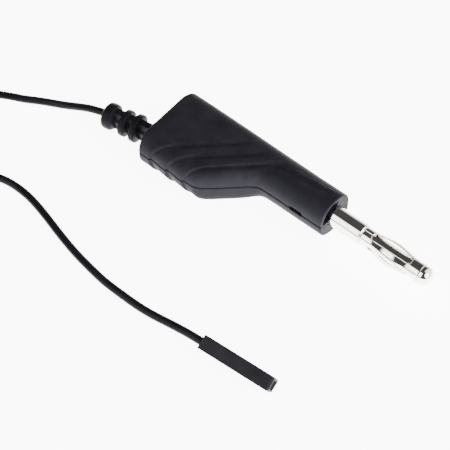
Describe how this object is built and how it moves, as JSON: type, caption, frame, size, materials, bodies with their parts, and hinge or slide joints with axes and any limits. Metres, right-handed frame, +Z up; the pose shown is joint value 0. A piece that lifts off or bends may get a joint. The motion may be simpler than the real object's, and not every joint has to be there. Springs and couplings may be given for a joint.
{
  "type": "test lead",
  "caption": "Thin test lead with a stackable 4 mm spring plug in a two-part moulded body and a single-way 2.54 mm pin socket on the far end.",
  "frame": {"origin": "bottom centre of the plug's box, without the lead", "axes": "+X along the plug towards its tip, +Z up out of the upper shell, the lead leaves on the -Y side"},
  "size_m": [0.1039, 0.0457, 0.008],
  "materials": {
    "shell_plastic": "satin moulded black",
    "boot_plastic": "soft moulded black",
    "wire_insulation": "glossy black",
    "housing_plastic": "satin black",
    "nickel": "bright nickel plate",
    "brass": "bright brass",
    "copper": "bare copper",
    "tie": "matt black"
  },
  "bodies": {
    "plug": {"upper_shell": "shell_plastic", "lower_shell": "shell_plastic", "stack_socket": "brass", "plug_pin": "nickel", "solder_tag": "brass", "strain_relief": "boot_plastic", "wire_tail": "wire_insulation", "conductor_strand_1": "copper", "conductor_strand_2": "copper", "conductor_strand_3": "copper", "conductor_strand_4": "copper", "conductor_strand_5": "copper", "conductor_strand_6": "copper", "conductor_strand_7": "copper", "lead_wire_near": "wire_insulation", "lead_coil": "wire_insulation", "coil_tie": "tie", "lead_wire_far": "wire_insulation", "socket_housing": "housing_plastic", "crimp_contact": "brass", "socket_conductor": "copper"},
    "spring_cage": {"cage_rear_collar": "nickel", "cage_front_collar": "nickel"},
    "leaf_1": {"cage_leaf_1": "nickel"},
    "leaf_2": {"cage_leaf_2": "nickel"},
    "leaf_3": {"cage_leaf_3": "nickel"},
    "leaf_4": {"cage_leaf_4": "nickel"}
  },
  "joints": [
    {"name": "cage_spin", "type": "hinge", "parent": "plug", "child": "spring_cage", "pos_m": [0.0257, 0.00415, 0.004], "axis": [1, 0, 0], "continuous": true},
    {"name": "leaf_1_press", "type": "slide", "parent": "spring_cage", "child": "leaf_1", "axis": [0, -0.585, -0.8111], "range_m": [0, 0.00025], "stiffness_N_per_m": 4000},
    {"name": "leaf_2_press", "type": "slide", "parent": "spring_cage", "child": "leaf_2", "axis": [0, 0.8111, -0.585], "range_m": [0, 0.00025], "stiffness_N_per_m": 4000},
    {"name": "leaf_3_press", "type": "slide", "parent": "spring_cage", "child": "leaf_3", "axis": [0, 0.585, 0.8111], "range_m": [0, 0.00025], "stiffness_N_per_m": 4000},
    {"name": "leaf_4_press", "type": "slide", "parent": "spring_cage", "child": "leaf_4", "axis": [0, -0.8111, 0.585], "range_m": [0, 0.00025], "stiffness_N_per_m": 4000}
  ]
}
